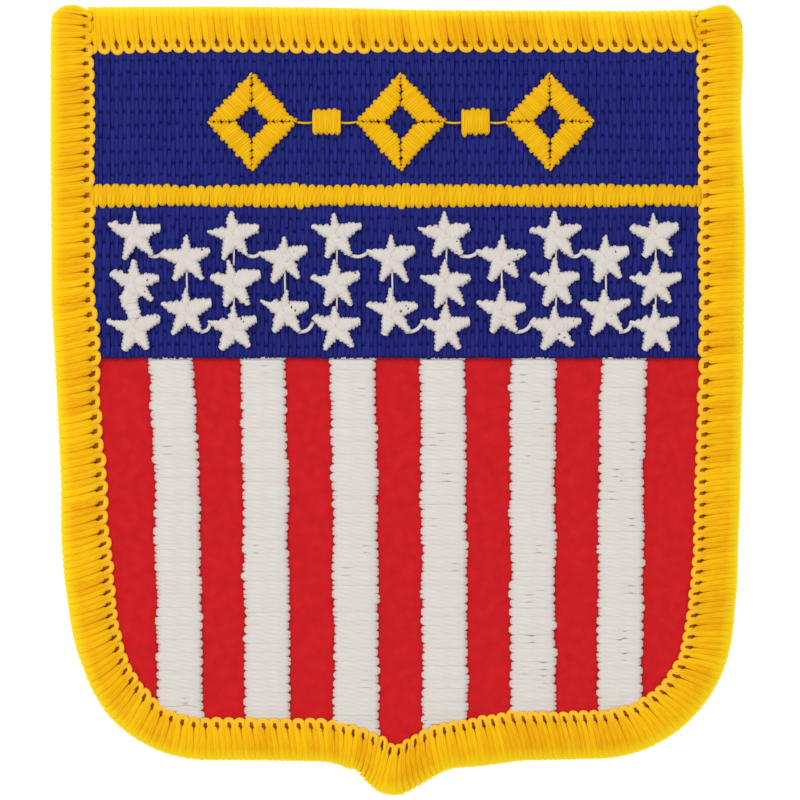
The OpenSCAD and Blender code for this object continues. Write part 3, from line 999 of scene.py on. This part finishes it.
def satin(start, end, low, high, half, random, edge=0.5, fall=0.1, ragged=0.05, ragged_end=None, narrow=0.4,
          near=(0.0, 0.16, 0.45, 1.0), middle=(0.5,), slits=0.0, gape=0.4, flat=0.45, uneven=0.01,
          pull=(1.0, 1.0), shade=None, slope=0.0):
    """Satin threads, each on the line from its start to its end, as tubes.

    With d the distance from the nearer end, e = min(edge, 0.35 length) and
    dive = 1 - d / e, a thread is pulled towards the partner that shares its hole
    by dive^1.5 of half their spacing, times a random factor between the two in
    pull. It rises from low as 1 - dive^2.6 and narrows as 1 - narrow dive^2. Its
    points stand at the shares near of e from both ends, and at the shares middle
    of its length. The top falls by fall from the middle to the edges, and a
    thread lies uneven higher or lower than its neighbours. ragged scatters the
    needle holes along the threads, ragged_end those at their ends. slits is the
    share of the threads that part from the next one somewhere in the middle, by
    gape half widths, and slope is the rise of the whole surface across them.
    """
    count = len(start)
    index = np.arange(count)
    run = end - start
    length = np.linalg.norm(run, axis=1)[:, None]
    ahead = run / length
    e = np.minimum(edge, 0.35 * length)
    near = np.array(near)
    d = np.concatenate([near * e, length * np.array(middle), length - near[::-1] * e], 1)
    share = d / length

    start_mate = np.clip(np.where(index % 2 == 1, index + 1, index - 1), 0, count - 1)
    end_mate = np.clip(np.where(index % 2 == 0, index + 1, index - 1), 0, count - 1)
    start_hole, end_hole = (index + 1) // 2, index // 2
    start_out = random.normal(0, ragged, count + 2)[start_hole][:, None]
    end_out = random.normal(0, ragged_end or ragged, count + 2)[end_hole][:, None]
    start_pull = random.uniform(*pull, count + 2)[start_hole][:, None, None] / 2
    end_pull = random.uniform(*pull, count + 2)[end_hole][:, None, None] / 2
    by_start = np.clip(1 - d / e, 0, 1)
    by_end = np.clip(1 - (length - d) / e, 0, 1)
    xy = start[:, None] + ahead[:, None] * (d - start_out * by_start + end_out * by_end)[..., None]
    xy = xy + (start[start_mate] - start)[:, None] * (by_start ** 1.5)[..., None] * start_pull
    xy = xy + (end[end_mate] - end)[:, None] * (by_end ** 1.5)[..., None] * end_pull

    across = np.stack([-ahead[:, 1], ahead[:, 0]], 1)
    slack = random.uniform(0, 1, (count, 1)) < slits
    place = random.uniform(0.2, 0.8, (count, 1))
    part = np.where(slack, np.exp(-((share - place) / SLIT_REACH) ** 2), 0)
    part_next = np.roll(part, 1, axis=0)
    width = half * (1 - 0.3 * part - 0.3 * part_next)
    xy = xy + across[:, None] * (half * gape * (part_next - part))[..., None]

    dive = np.maximum(by_start, by_end)
    top = np.reshape(high, (-1, 1)) - half * flat - fall
    level = low + (top - low) * (1 - dive ** 2.6)
    height = level + fall * (1 - (2 * share - 1) ** 2) * (1 - dive)
    height = height + random.normal(0, uneven, (count, 1)) * (1 - dive)
    path = np.concatenate([xy, height[..., None]], -1)
    side = np.broadcast_to(np.insert(across, 2, slope, axis=1)[:, None], path.shape)
    width = width * (1 - narrow * dive ** 2)
    tone = random.uniform(0, 1, count) if shade is None else shade
    # dive goes to the material as reach, so the ends of the threads get the tip colour, a painted highlight.
    return thread_tubes(path, side, width, width * flat, tone, dive)


# %% [markdown]
# The blue fields are filled with running stitches. Each column is a line of
# short stitches end to end, and every second column is shifted by part of a
# stitch, so the needle holes stand in a staggered pattern and no line of them
# shows. That is the pattern which embroiderers call tatami.

# %% Blue fields
FILL_PITCH = 0.37
FILL_STITCH = 2.34
FILL_SHIFT = 0.48
FILL_HALF = 0.225
FILL_FLAT = 0.24
FILL_DEPTH = 0.06
HOLE_DEPTH = 0.09
SHORTEST_STITCH = 0.25
# The five rings of a stitch: where they stand, how deep they lie and how near to a hole, where the navy
# material paints shade.
RING_SHARE = np.array([0, 0.18, 0.5, 0.82, 1.0])
RING_DIP = np.array([1, 0.35, 0, 0.35, 1])
RING_REACH = np.array([1, 0.5, 0, 0.5, 1])
BED_RING = ring_inset(2.9)
NAVY_PADDING = padding_material("thread padding, navy", "#1A1C78")


def tatami(y_from, y_to, random):
    """Columns of running stitches inside the border, between two heights on the patch.

    Hole j of column i lies at y = y_from + (j - 1 + shift (i mod 2)) * stitch
    plus a little scatter, and a stitch runs from hole j to hole j + 1, cut off
    at the border. At its two holes it is thinner and lies deeper by a random
    share, the dip, so some holes show and others hardly.
    """
    x = np.arange(FIELD[:, 0].min() + 0.1, FIELD[:, 0].max() - 0.1, FILL_PITCH)
    low, high = crossings(FIELD, 0, x)
    low = np.maximum(low, y_from + random.normal(0, 0.03, len(x)))
    high = np.minimum(high, y_to)
    rows = int(np.ceil((y_to - y_from) / FILL_STITCH)) + 2
    i, j = np.meshgrid(np.arange(len(x)), np.arange(rows + 1), indexing="ij")
    hole = y_from + (j - 1 + FILL_SHIFT * (i % 2)) * FILL_STITCH + random.normal(0, 0.09, i.shape)
    hole = np.clip(hole, low[:, None], high[:, None])
    start, end = hole[:, :-1].ravel(), hole[:, 1:].ravel()
    keep = end - start > SHORTEST_STITCH
    column = np.repeat(x + random.normal(0, 0.018, len(x)), rows)[keep]
    start, end = start[keep], end[keep]

    count = len(start)
    dip = random.uniform(0.1, 0.5, (count, 1)) * RING_DIP
    y = start[:, None] + (end - start)[:, None] * RING_SHARE
    lean = random.normal(0, 0.012, (count, 1))
    z = FILL_TOP - FILL_DEPTH - HOLE_DEPTH * dip + random.normal(0, 0.008, (count, 1))
    path = np.stack([column[:, None] + lean * (2 * RING_SHARE - 1), y, z], -1)
    side = np.broadcast_to([1.0, 0, 0], path.shape)
    half = FILL_HALF * (1 - dip)
    return thread_tubes(path, side, half, half * FILL_FLAT, random.uniform(0, 1, count), RING_REACH)


def blue_field(name, node, y_from, y_to, seed):
    """One blue field: its stitches over a dark bed, whose darkness is painted shade that shows in the needle
    holes.
    """
    random = np.random.default_rng(seed)
    build(name, [tatami(y_from, y_to, random)], NAVY_FILL, [node])
    bed = slab(BED_RING, FILL_LOW, FILL_TOP - 0.13, y_from + 0.1, y_to - 0.1)
    build(f"{name}_bed", [bed], NAVY_PADDING, [node])


blue_field("chief_fill", "chief_panel", BAR_HIGH - 0.4, OUTSIDE, 21)
blue_field("star_fill", "star_panel", PANEL_FOOT, BAR_LOW + 0.4, 22)


# %% [markdown]
# The gold bar is a narrow satin column that covers the joint between the two
# blue fields.

# %% Gold bar
BAR_PITCH = 0.39
BAR_HALF = 0.25
BAR_DROP = 0.16
BAR_SATIN = {"edge": 0.45, "fall": 0.06, "ragged": 0.05, "narrow": 0.6, "flat": 0.2, "uneven": 0.004,
             "pull": (0.3, 1.0)}
STRAY_X = -8.7
STRAY_LENGTH = 0.4


def gold_bar(random):
    """Upright satin stitches from border to border, one of them too long."""
    x = np.arange(FIELD[:, 0].min() + 0.1, OUTSIDE, BAR_PITCH)
    x = x + random.normal(0, 0.012, len(x))
    x = x[x < crossings(FIELD, 1, [BAR_LOW])[1][0]]
    wander = 0.05 * np.sin(x / 2.3) + 0.04 * np.sin(x / 0.9)
    start = np.stack([x, BAR_HIGH + wander], 1)
    end = np.stack([x, BAR_LOW - BAR_DROP + wander[::-1]], 1)
    end[np.abs(x - STRAY_X) < 0.5 * BAR_PITCH, 1] -= STRAY_LENGTH
    return satin(start, end, FILL_TOP - 0.06, BAR_TOP, BAR_HALF, random, **BAR_SATIN)


bar_bed = slab(BED_RING, FILL_LOW, FILL_TOP + 0.1, BAR_LOW + 0.3, BAR_HIGH - 0.42)
build("bar_satin", [gold_bar(np.random.default_rng(31))], GOLD_SATIN, ["gold_bar"])
build("bar_bed", [bar_bed], GOLD_PADDING, ["gold_bar"])


# %% [markdown]
# The white stripes are satin bars a little over four millimetres wide. Their
# threads run level, and the bars lean a little, as the CAD stripes do. Where a
# long satin stitch has slackened, the threads part and the shaded padding shows
# as a short dash. At the foot a stripe slopes down to pass under the loops.

# %% White stripes
STRIPE_PITCH = 0.41
STRIPE_HALF = 0.32
STRIPE_SATIN = {"edge": 0.5, "ragged": 0.06, "narrow": 0.6, "near": (0.0, 0.15, 0.45, 1.0), "flat": 0.1,
                "middle": (0.28, 0.4, 0.5, 0.6, 0.72), "uneven": 0.003, "pull": (0.0, 0.9)}
STRIPE_FALL = 0.3
SHORTEST_THREAD = 0.5
# The heights over which a stripe slopes down at its foot and at its head.
FOOT_SLOPE = 1.6
HEAD_SLOPE = 0.5
FOOT_RING = ring_inset(3.2)
# The three layers of padding: how far each stands back from the stripe's edge and from the
# outline, and its top.
STRIPE_BEDS = [(1.0, 5.6, FILL_TOP - 0.03), (0.7, 5.0, FILL_TOP - 0.15), (0.5, 4.3, GROUND_TOP + 0.15)]
WHITE_PADDING = padding_material("thread padding, white", "#DCC8B0")


def white_stripe(number, random):
    """Level satin stitches from under the blue field's edge down to under the border's loops.

    At the foot the surface falls by STRIPE_FALL (1 - d / FOOT_SLOPE)^1.5, with d
    the distance from the field's lower edge, and the threads tilt with it. At
    the head it falls evenly, to pass under the blue stitches.
    """
    y = np.arange(STRIPE_HEAD + 0.5, FIELD[:, 1].min() - 1.0, -STRIPE_PITCH)
    y = y + random.normal(0, 0.02, len(y))
    x_low, x_high = crossings(FOOT_RING, 1, y)
    wander = 0.05 * np.sin(y / 1.7 + number) + 0.03 * np.sin(y / 0.61 + 2 * number)
    middle = stripe_middle(number, y)
    left = np.maximum(middle - STRIPE_HALF_WIDTH + wander, x_low)
    right = np.minimum(middle + STRIPE_HALF_WIDTH + 0.7 * wander[::-1], x_high)
    keep = right - left > SHORTEST_THREAD
    y, left, right = y[keep], left[keep], right[keep]

    above_foot = y - crossings(FIELD, 0, (left + right) / 2)[0]
    fall = STRIPE_FALL * np.clip(1 - above_foot / FOOT_SLOPE, 0, 1) ** 1.5
    slope = -np.gradient(fall, y)
    fall = fall + STRIPE_FALL * np.clip((y - STRIPE_HEAD + 0.35) / HEAD_SLOPE, 0, 1)
    return satin(np.stack([left, y], 1), np.stack([right, y], 1), GROUND_TOP + 0.03, STRIPE_TOP - fall,
                 STRIPE_HALF, random, slits=STRIPE_TABLE[number, 3], slope=slope,
                 shade=random.uniform(0.55, 0.75, len(y)), **STRIPE_SATIN)


def stripe_bed(number, stands_back, inset, top):
    """Padding under a stripe: a block that leans with it, narrower on each side by stands_back."""
    half = STRIPE_HALF_WIDTH - stands_back
    y = np.array([STRIPE_HEAD - 0.5, *STRIPE_Y[1:]])
    middle = stripe_middle(number, y)
    foot_x = middle[-1] + np.array([-half, half])
    foot = np.stack([foot_x, crossings(ring_inset(inset), 0, foot_x)[0]], 1)
    left, right = np.stack([middle - half, y], 1), np.stack([middle + half, y], 1)
    return block(np.concatenate([left, foot, right[::-1]]), GROUND_TOP, top)


for number in range(len(STRIPE_TABLE)):
    random = np.random.default_rng(40 + number)
    node = f"white_stripe_{number + 1}"
    beds = [stripe_bed(number, *layer) for layer in STRIPE_BEDS]
    build(f"stripe_satin_{number + 1}", [white_stripe(number, random)], WHITE_SATIN, [node])
    build(f"stripe_bed_{number + 1}", beds, WHITE_PADDING, [node])


# %% [markdown]
# The stars. Each arm is a small satin column of its own, with the threads across
# the arm, and the five columns meet in the middle. At this size the machine
# can't place a thread exactly, so no two stars are alike: an arm is a little
# longer here, or turned a few degrees there.

# %% Stars
# The satin of the motifs dives to this height, just under the top of the blue stitches.
MOTIF_LOW = FILL_TOP - 0.05
STAR_COUNT = 28
STAR_RADIUS = 2.3
STAR_PITCH = 0.17
STAR_HALF = 0.15
STAR_SATIN = {"edge": 0.25, "fall": 0.05, "near": (0.0, 0.35, 1.0), "middle": (0.4, 0.5, 0.6), "gape": 0.9,
              "flat": 0.3}
# Columns: direction of the arm in degrees, length, width against the profile, how pointed, share of
# slack stitches, pitch of the threads, scatter of their ends. The second arm has coarse teeth.
STAR_ARMS = np.array([
    [92, 2.06, 0.80, 0.80, 0.00, STAR_PITCH, 0.05],
    [165, 2.35, 0.95, 0.72, 0.00, 0.23, 0.17],
    [244, 2.30, 1.02, 0.65, 0.00, STAR_PITCH, 0.05],
    [308, 2.40, 0.98, 0.68, 0.08, STAR_PITCH, 0.05],
    [17, 2.35, 1.10, 0.52, 0.12, STAR_PITCH, 0.05],
])
# The half width of an arm at some shares of its length.
ARM_PROFILE = np.array([[0, 0.42], [0.2, 0.74], [0.45, 0.76], [1.0, 0.62]])


def star_arm(centre, arm, lift, random):
    """Satin threads across one arm, from the middle of the star to the arm's tip.

    At the distance r along the arm, with q = r / length, its half width is
    profile(q) * (1 - pointed q^2), and the threads lean by a fifth of it, as
    they do where the machine turns into the next arm.
    """
    turned, length, scale, pointed, slack, pitch, teeth = arm
    direction = math.radians(turned)
    r = np.arange(0.12, length - 0.05, pitch)
    w = np.interp(r / length, *ARM_PROFILE.T) * scale * (1 - pointed * (r / length) ** 2)
    ahead = np.array([math.cos(direction), math.sin(direction)])
    left = np.array([-ahead[1], ahead[0]])
    middle = centre + r[:, None] * ahead
    lean = 0.2 * w[:, None] * ahead
    return satin(middle + w[:, None] * left + lean, middle - w[:, None] * left - lean, MOTIF_LOW,
                 MOTIF_TOP + lift, STAR_HALF * pitch / STAR_PITCH, random, ragged=0.05, ragged_end=teeth,
                 slits=slack, uneven=0.008, shade=random.uniform(0.1, 0.7, len(r)), **STAR_SATIN)


def star_bed(centre, arms):
    """Padding under a star: its ten-cornered outline, a little smaller, as a flat block."""
    angle = np.radians(arms[:, 0])
    between = angle + (np.roll(angle, -1) - angle) % (2 * np.pi) / 2
    corner = np.stack([angle, between], 1).ravel()
    radius = np.stack([arms[:, 1] * 0.82, np.full(len(arms), 0.85)], 1).ravel()
    xy = centre + radius[:, None] * np.stack([np.cos(corner), np.sin(corner)], 1)
    return block(xy, FILL_TOP - 0.12, MOTIF_TOP - 0.22)


def star(number):
    """One star: five arms over a bed of padding. Returns its centre."""
    random = np.random.default_rng(100 + number)
    node = f"star_{number:02d}"
    low, high = node_box(node)
    centre = np.array([(low[0] + high[0]) / 2, high[1] - STAR_RADIUS])
    arms = STAR_ARMS.copy()
    arms[:, 0] += random.normal(0, 3.5, 5)
    arms[:, 1] *= 1 + random.normal(0, 0.035, 5)
    arms[:, 2] *= 1 + random.normal(0, 0.08, 5)
    parts = [star_arm(centre, arm, 0.02 * k, random) for k, arm in enumerate(arms)]
    build(f"star_satin_{number:02d}", [*parts, star_bed(centre, arms)], WHITE_SATIN, [node])
    return centre


STARS = np.array([star(number) for number in range(1, STAR_COUNT + 1)])


# %% [markdown]
# The three lozenges and the two pellets between them stand in the upper field.
# A lozenge is a frame of four satin limbs, whose threads lie across the limb
# and are cut off on the mitre at each corner, and a pellet is one small square.

# %% Lozenges and pellets
MOTIF_PITCH = 0.25
MOTIF_HALF = 0.175
MOTIF_SATIN = {"edge": 0.3, "fall": 0.06, "ragged": 0.07, "flat": 0.28}
LOZENGE_BAND = 2.1
LIMB_END = 0.3


def limb(a, b, angle_a, angle_b, band, random):
    """Satin threads across one straight limb, from its outer edge a-b inwards.

    The thread at the distance s from a is min(band, s tan(A / 2),
    (length - s) tan(B / 2)) long, with A and B the angles of the corners.
    """
    length = np.linalg.norm(b - a)
    ahead = (b - a) / length
    inwards = np.array([-ahead[1], ahead[0]])
    s = np.arange(LIMB_END, length - LIMB_END, MOTIF_PITCH)
    depth = np.minimum(band, np.minimum(s * math.tan(angle_a / 2), (length - s) * math.tan(angle_b / 2)))
    start = a + s[:, None] * ahead
    return satin(start, start + depth[:, None] * inwards, MOTIF_LOW, MOTIF_TOP, MOTIF_HALF, random,
                 **MOTIF_SATIN)


def lozenge(number):
    """A hollow lozenge of four limbs."""
    random = np.random.default_rng(200 + number)
    low, high = node_box(f"lozenge_{number}")
    centre, half = (low + high)[:2] / 2, (high - low)[:2] / 2
    corners = centre + half * np.array([[1, 0], [0, 1], [-1, 0], [0, -1]])
    side_angle = 2 * math.atan2(half[1], half[0])
    angles = [side_angle, math.pi - side_angle] * 2
    limbs = [limb(corners[k], corners[(k + 1) % 4], angles[k], angles[(k + 1) % 4], LOZENGE_BAND, random)
             for k in range(4)]
    build(f"lozenge_satin_{number}", limbs, GOLD_SATIN, [f"lozenge_{number}"])


def pellet(number):
    """A small square of upright satin stitches."""
    random = np.random.default_rng(210 + number)
    low, high = node_box(f"pellet_{number}")
    x = np.arange(low[0] + 0.1, high[0], MOTIF_PITCH)
    start, end = np.stack([x, 0 * x + high[1]], 1), np.stack([x, 0 * x + low[1]], 1)
    threads = satin(start, end, MOTIF_LOW, MOTIF_TOP, MOTIF_HALF, random, **MOTIF_SATIN)
    build(f"pellet_satin_{number}", [threads], GOLD_SATIN, [f"pellet_{number}"])


for number in (1, 2, 3):
    lozenge(number)
for number in (1, 2):
    pellet(number)


# %% [markdown]
# Travel threads. Between two motifs of one colour the machine doesn't cut the
# thread, so a loose length is left lying on the blue.

# %% Travel threads
TRAVEL_LIFT = 0.08
TRAVEL_RISE = 0.12


def travel(name, start, end, half, bow=0.0, material=WHITE_SATIN):
    """Loose threads from motif to motif.

    A thread is P = start + t (end - start) + bow sin(pi t) n, with n square to
    it, and between its ends it rises by TRAVEL_RISE 4 t (1 - t).
    """
    t = np.linspace(0, 1, 9)
    run = end - start
    normal = unit(np.stack([-run[:, 1], run[:, 0]], 1))
    xy = start[:, None] + run[:, None] * t[:, None] + normal[:, None] * (bow * np.sin(np.pi * t))[:, None]
    z = np.broadcast_to(FILL_TOP + TRAVEL_LIFT + TRAVEL_RISE * 4 * t * (1 - t), xy.shape[:2])
    path = np.concatenate([xy, z[..., None]], -1)
    side = np.broadcast_to(np.insert(normal, 2, 0, axis=1)[:, None], path.shape)
    width = np.full(z.shape, half)
    threads = thread_tubes(path, side, width, width * 0.6, np.linspace(0.2, 0.8, len(start)), 0.0)
    build(name, [threads], material)


LONG_ROWS, SHORT_ROWS = STARS[:18].reshape(3, 6, 2), STARS[18:].reshape(2, 5, 2)
travel("travel_upper", LONG_ROWS[0, :5] + [1.3, -1.9], SHORT_ROWS[0] + [-2.1, 0.55], 0.17, bow=-0.25)
travel("travel_lower", SHORT_ROWS[1] + [1.3, -1.9], LONG_ROWS[2, 1:] + [-2.1, 0.5], 0.17, bow=-0.3)

MOTIF_ROW = [node_box(name) for name in ("lozenge_1", "pellet_1", "lozenge_2", "pellet_2", "lozenge_3")]
motif_low, motif_high = np.array(MOTIF_ROW).transpose(1, 0, 2)
motif_y = (motif_low[:, 1] + motif_high[:, 1]) / 2
motif_right = np.stack([motif_high[:, 0] - 0.3, motif_y], 1)
motif_left = np.stack([motif_low[:, 0] + 0.3, motif_y], 1)
travel("travel_gold", motif_right[:-1], motif_left[1:], 0.1, -0.12, GOLD_SATIN)


# %% [markdown]
# At one place the machine sewed the travel over and over, and a short satin
# column joins two stars. Thinner threads run down from a star to the one below.

# %% The knot and the travels that run down
# Rows from the upper star down: y, left and right edge, from the middle of that star.
KNOT = np.array([
    [-0.6, -1.0, 0.35], [-1.0, -1.35, 0.5], [-1.5, -1.4, 0.45], [-2.0, -1.2, 0.3],
    [-2.4, -0.8, 0.5], [-2.8, -0.75, 0.6], [-3.2, -0.65, 0.6],
])
KNOT_SLANT = 0.15
knot_y = np.arange(KNOT[0, 0], KNOT[-1, 0], -STAR_PITCH)
knot_left, knot_right = [np.interp(-knot_y, -KNOT[:, 0], KNOT[:, side]) for side in (1, 2)]
knot_start = STARS[6] + np.stack([knot_left, knot_y - KNOT_SLANT], 1)
knot_end = STARS[6] + np.stack([knot_right, knot_y + KNOT_SLANT], 1)
knot = satin(knot_start, knot_end, MOTIF_LOW, MOTIF_TOP + 0.02, STAR_HALF, np.random.default_rng(61),
             ragged=0.06, slits=0.1, **STAR_SATIN)
build("knot_satin", [knot], WHITE_SATIN)
travel("travel_short", SHORT_ROWS[0] + [0.05, -0.7], SHORT_ROWS[1] + [0.1, 1.5], 0.09)
travel("travel_long", LONG_ROWS[:2, 1:].reshape(-1, 2) + [0.1, -0.6],
       LONG_ROWS[1:, 1:].reshape(-1, 2) + [0.05, 1.6], 0.08)


# %% [markdown]
# The studio: a plain white floor, two large soft lights and a white world, so
# that the patch shows as it does on a copy stand. The camera looks straight
# down through a long lens.

# %% Floor and lights
FLOOR_HALF = 1500.0
FLOOR_DROP = 0.02
WORLD_STRENGTH = 0.72


def floor():
    """A large white plane just under the patch."""
    mesh = bpy.data.meshes.new("floor")
    corners = np.array([[-1, -1, 0], [1, -1, 0], [1, 1, 0], [-1, 1, 0]]) * FLOOR_HALF * MM
    corners[:, 2] = -FLOOR_DROP * MM
    mesh.from_pydata(corners.tolist(), [], [(0, 1, 2, 3)])
    material, _, shader = new_material("white paper", 0.9)
    shader.inputs["Base Color"].default_value = rgb("#F4F4F4")
    shader.inputs["Emission Color"].default_value = (1, 1, 1, 1)
    shader.inputs["Emission Strength"].default_value = 0.5
    mesh.materials.append(material)
    plane = bpy.data.objects.new("floor", mesh)
    bpy.context.scene.collection.objects.link(plane)


def area_light(name, place, size, power):
    """A square soft light at a place in mm that faces the patch."""
    light = bpy.data.lights.new(name, "AREA")
    light.size = size * MM
    light.energy = power
    lamp = bpy.data.objects.new(name, light)
    lamp.location = [c * MM for c in place]
    lamp.rotation_mode = "QUATERNION"
    lamp.rotation_quaternion = (-Vector(place)).to_track_quat("-Z", "Y")
    bpy.context.scene.collection.objects.link(lamp)


floor()
area_light("key", (-260, 240, 420), 260, 0.94)
area_light("fill", (300, -100, 500), 400, 0.42)
world = bpy.data.worlds.new("studio")
bpy.context.scene.world = world
world.use_nodes = True
world.node_tree.nodes["Background"].inputs["Color"].default_value = (1, 1, 1, 1)
world.node_tree.nodes["Background"].inputs["Strength"].default_value = WORLD_STRENGTH
print("lights:", [light.name for light in bpy.data.lights])


# %% Camera
FRAME_WIDTH = 73.2
FRAME_X = 0.23
LENS = 250.0
SENSOR = 36.0
camera = bpy.data.cameras.new("camera")
camera.lens = LENS
camera.sensor_width = SENSOR
camera.clip_start = 0.01
eye = bpy.data.objects.new("camera", camera)
eye.location = (FRAME_X * MM, 0.0, (WIDEST_HEIGHT + FRAME_WIDTH * LENS / SENSOR) * MM)
bpy.context.scene.collection.objects.link(eye)
bpy.context.scene.camera = eye
bpy.context.scene.view_settings.view_transform = "Standard"
print("camera in mm:", [round(c / MM, 1) for c in eye.location])
